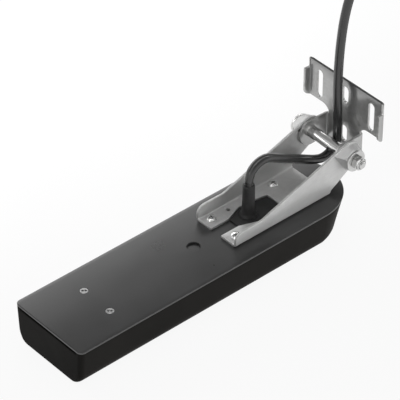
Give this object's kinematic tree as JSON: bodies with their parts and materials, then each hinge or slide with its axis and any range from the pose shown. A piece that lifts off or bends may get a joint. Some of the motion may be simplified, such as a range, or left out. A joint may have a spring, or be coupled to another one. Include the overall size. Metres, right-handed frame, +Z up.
{
  "type": "transom-mount sonar transducer",
  "caption": "Long black moulded sonar transducer with a round nose, held by a folded steel bracket that tilts on a pivot bolt behind a slotted transom plate, with a black cable.",
  "frame": {"origin": "on the flat bottom of the body, below the middle of the object's length and width without the cable", "axes": "+X forward towards the transom plate and the round nose, +Y to port, +Z up"},
  "size_m": [0.6053, 0.081, 0.2235],
  "materials": {
    "body_black": "moulded",
    "cover_charcoal": "fine moulded grain",
    "boot_rubber": "matte",
    "stainless_sheet": "satin, bright sheared edges",
    "stainless_hardware": "bright",
    "cable_jacket": "satin jacket",
    "tie_fabric": "hook-and-loop strap",
    "plug_plastic": "moulded"
  },
  "bodies": {
    "transducer": {"housing": "body_black", "top_cover": "cover_charcoal", "cover_pin_port": "stainless_hardware", "cover_pin_starboard": "stainless_hardware", "strain_relief": "boot_rubber", "transducer_bracket": "stainless_sheet", "bracket_screw_1": "stainless_hardware", "bracket_screw_2": "stainless_hardware", "bracket_screw_3": "stainless_hardware", "bracket_screw_4": "stainless_hardware", "pivot_bolt": "stainless_hardware", "pivot_washer_port": "stainless_hardware", "pivot_washer_starboard": "stainless_hardware", "pivot_nut": "stainless_hardware", "cable": "cable_jacket", "cable_coil": "cable_jacket", "cable_tail": "cable_jacket", "coil_tie": "tie_fabric", "connector_boot": "boot_rubber", "connector_body": "plug_plastic", "connector_collar": "plug_plastic", "connector_insert": "plug_plastic"},
    "transom_mount": {"transom_bracket": "stainless_sheet", "pivot_sleeve": "stainless_hardware"}
  },
  "joints": [
    {"name": "bracket_tilt", "type": "hinge", "parent": "transducer", "child": "transom_mount", "pos_m": [0.1252, 0, 0.0611], "axis": [0, 1, 0], "range_deg": [-3, 90]}
  ]
}
